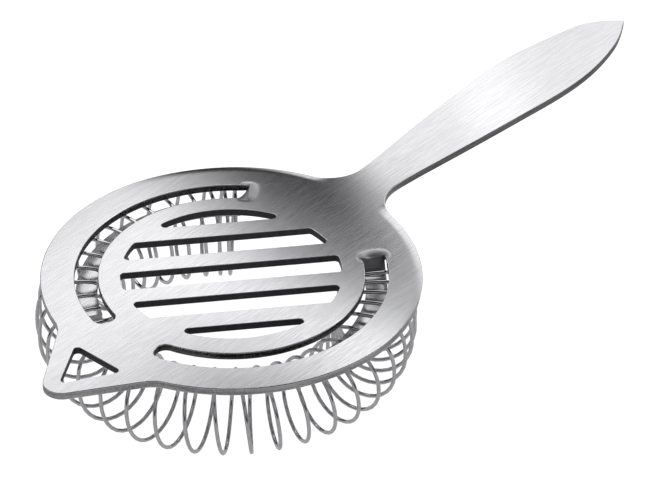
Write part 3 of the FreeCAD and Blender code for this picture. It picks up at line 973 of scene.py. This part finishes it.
class Glow(Nodes):
    """A node material that only gives off light."""

    def __init__(self, name):
        super().__init__(name)
        self.emission = self.node("ShaderNodeEmission")
        output = next(node for node in self.tree.nodes if node.type == "OUTPUT_MATERIAL")
        self.link(self.emission.outputs["Emission"], output.inputs["Surface"])

    def number(self, operation, first, second=0.0):
        """One step of arithmetic on two numbers or node outputs."""
        node = self.node("ShaderNodeMath", operation=operation)
        for socket, value in zip(node.inputs, (first, second)):
            if isinstance(value, (int, float)):
                socket.default_value = value
            else:
                self.link(value, socket)
        return node.outputs["Value"]

    def step(self, value, start, width, low=0.0, high=1.0):
        """An even rise from low to high as value goes from start to start + width."""
        node = self.node("ShaderNodeMapRange", interpolation_type="SMOOTHSTEP")
        node.inputs["From Min"].default_value = 0.0
        node.inputs["From Max"].default_value = width
        node.inputs["To Min"].default_value = low
        node.inputs["To Max"].default_value = high
        self.link(self.number("SUBTRACT", value, start), node.inputs["Value"])
        return node.outputs["Result"]


# The big softbox hangs over the far left of the strainer, its face square to PANEL_TILT.
PANEL_TILT = math.radians(65)
PANEL_DISTANCE = 80.0
PANEL_ALONG = (-60, 320)
PANEL_ACROSS = (-150, 130)
PANEL_LEVEL = 1.48


def panel_glow():
    """Softbox with a dark flag across it, shaped to follow the cone that the brushing reflects.

    along says how far towards the handle a ray leaves, and across how far up the panel it lands.
    """
    n = Glow("softbox_glow")
    coords = n.node("ShaderNodeTexCoord")
    split = n.node("ShaderNodeSeparateXYZ")
    n.link(coords.outputs["Object"], split.inputs["Vector"])
    x, y, z = split.outputs
    off_axis = n.number("SQRT", n.number("ADD", n.number("MULTIPLY", y, y), n.number("MULTIPLY", z, z)))
    along = n.number("DIVIDE", x, off_axis)
    scale = 1 / (PANEL_DISTANCE * MM)
    lean_y = n.number("MULTIPLY", y, -math.sin(PANEL_TILT) * scale)
    lean_z = n.number("MULTIPLY", z, math.cos(PANEL_TILT) * scale)
    across = n.number("ADD", lean_y, lean_z)
    # The flag lies between two leaning edges, and leaks a little light.
    flag_left = n.number("ADD", n.number("MULTIPLY", across, 0.41), 0.785)
    flag_right = n.number("ADD", n.number("MULTIPLY", across, 0.27), 1.25)
    flag = n.step(n.number("SUBTRACT", along, flag_left), 0.0, 0.42)
    flag = n.number("MULTIPLY", flag, n.step(n.number("SUBTRACT", along, flag_right), 0.0, 0.25, 1.0, 0.0))
    flag = n.number("MULTIPLY", flag, 0.975)
    # Two darker patches towards the spout, and a brighter one over the flag's left edge.
    low_end = n.number("MULTIPLY", n.step(along, 0.5, 0.28, 0.75, 0.0), n.step(across, 0.2, 0.25))
    corner = n.number("MULTIPLY", n.step(along, 0.36, 0.52, 1.0, 0.0), n.step(across, -0.11, 0.16))
    hot_spot = n.step(n.number("ABSOLUTE", n.number("SUBTRACT", along, 0.9)), 0.0, 0.26, 1.0, 0.0)
    hot_spot = n.number("MULTIPLY", hot_spot, n.step(across, 0.2, 0.15))
    light = n.number("MULTIPLY", n.number("SUBTRACT", 1.0, flag), n.number("SUBTRACT", 1.0, corner))
    light = n.number("MULTIPLY", light, n.number("SUBTRACT", 1.0, low_end))
    light = n.number("MULTIPLY", light, n.step(across, 0.45, 0.3, 1.0, 0.25))
    light = n.number("ADD", light, hot_spot)
    # The panel's lower end is dark, its handle end is dimmer, and one band lights the handle's middle.
    light = n.number("MULTIPLY", light, n.step(across, -0.95, 0.2))
    light = n.number("MULTIPLY", light, n.step(along, 1.26, 0.2, 1.0, 0.83))
    handle_spot = n.step(n.number("ABSOLUTE", n.number("SUBTRACT", along, 1.94)), 0.04, 0.22, 0.2, 0.0)
    light = n.number("MULTIPLY", light, n.number("ADD", 1.0, handle_spot))
    n.link(n.number("MULTIPLY", light, PANEL_LEVEL), n.emission.inputs["Strength"])
    return n.material


def softbox():
    """A flat panel of light that the brushing mirrors, unseen by the camera."""
    facing = np.array([0.0, math.cos(PANEL_TILT), math.sin(PANEL_TILT)])
    across = np.array([0.0, -math.sin(PANEL_TILT), math.cos(PANEL_TILT)])
    (near, far), (low, high) = PANEL_ALONG, PANEL_ACROSS
    corners = []
    for x, rise in ((near, low), (far, low), (far, high), (near, high)):
        corners.append((facing * PANEL_DISTANCE + across * rise + [x, 0, 0]) * MM)
    mesh = bpy.data.meshes.new("softbox")
    mesh.from_pydata([corner.tolist() for corner in corners], [], [(0, 1, 2, 3)])
    mesh.materials.append(panel_glow())
    obj = bpy.data.objects.new("softbox", mesh)
    bpy.context.scene.collection.objects.link(obj)
    obj.location = in_frame([[0, 0, 0]])[0]
    obj.visible_camera = False
    obj.visible_shadow = False


def studio():
    """A dim room with a bright band of wall part of the way up."""
    world = bpy.data.worlds.new("studio")
    world.use_nodes = True
    tree = world.node_tree
    coords = tree.nodes.new("ShaderNodeTexCoord")
    split = tree.nodes.new("ShaderNodeSeparateXYZ")
    ramp = tree.nodes.new("ShaderNodeValToRGB")
    ramp.color_ramp.interpolation = "EASE"
    first, last = ramp.color_ramp.elements
    first.position, last.position = 0.0, 0.72
    first.color = (0.05, 0.05, 0.055, 1)
    last.color = (0.05, 0.05, 0.055, 1)
    for height, level in ((0.12, 0.07), (0.36, 0.46), (0.52, 0.46)):
        ramp.color_ramp.elements.new(height).color = (level * 0.97, level * 0.97, level, 1)
    tree.links.new(coords.outputs["Generated"], split.inputs["Vector"])
    tree.links.new(split.outputs["Z"], ramp.inputs["Fac"])
    tree.links.new(ramp.outputs["Color"], tree.nodes["Background"].inputs["Color"])
    bpy.context.scene.world = world


# The camera looks down at the strainer from the spout's right, with a long lens.
CAMERA_AIM = (24.352, -6.529, 0.0)
CAMERA_DISTANCE = 893.156
CAMERA_AZIMUTH = math.radians(-139.0415)
CAMERA_ELEVATION = math.radians(35.0)
CAMERA_ROLL = math.radians(0.6604)
CAMERA_FOCUS = 217.19


def studio_camera():
    data = bpy.data.cameras.new("camera")
    data.lens = CAMERA_FOCUS
    data.sensor_width = 36.0
    data.clip_end = 20
    camera = bpy.data.objects.new("camera", data)
    bpy.context.scene.collection.objects.link(camera)
    bearing = Matrix.Rotation(CAMERA_AZIMUTH + math.pi / 2, 4, "Z")
    tilt = Matrix.Rotation(math.pi / 2 - CAMERA_ELEVATION, 4, "X")
    back = Matrix.Translation((0, 0, CAMERA_DISTANCE * MM))
    aim = Matrix.Translation(in_frame([CAMERA_AIM])[0])
    camera.matrix_world = aim @ bearing @ tilt @ Matrix.Rotation(CAMERA_ROLL, 4, "Z") @ back
    bpy.context.scene.camera = camera


floor()
softbox()
studio()
studio_camera()
bpy.context.scene.view_settings.view_transform = "Standard"
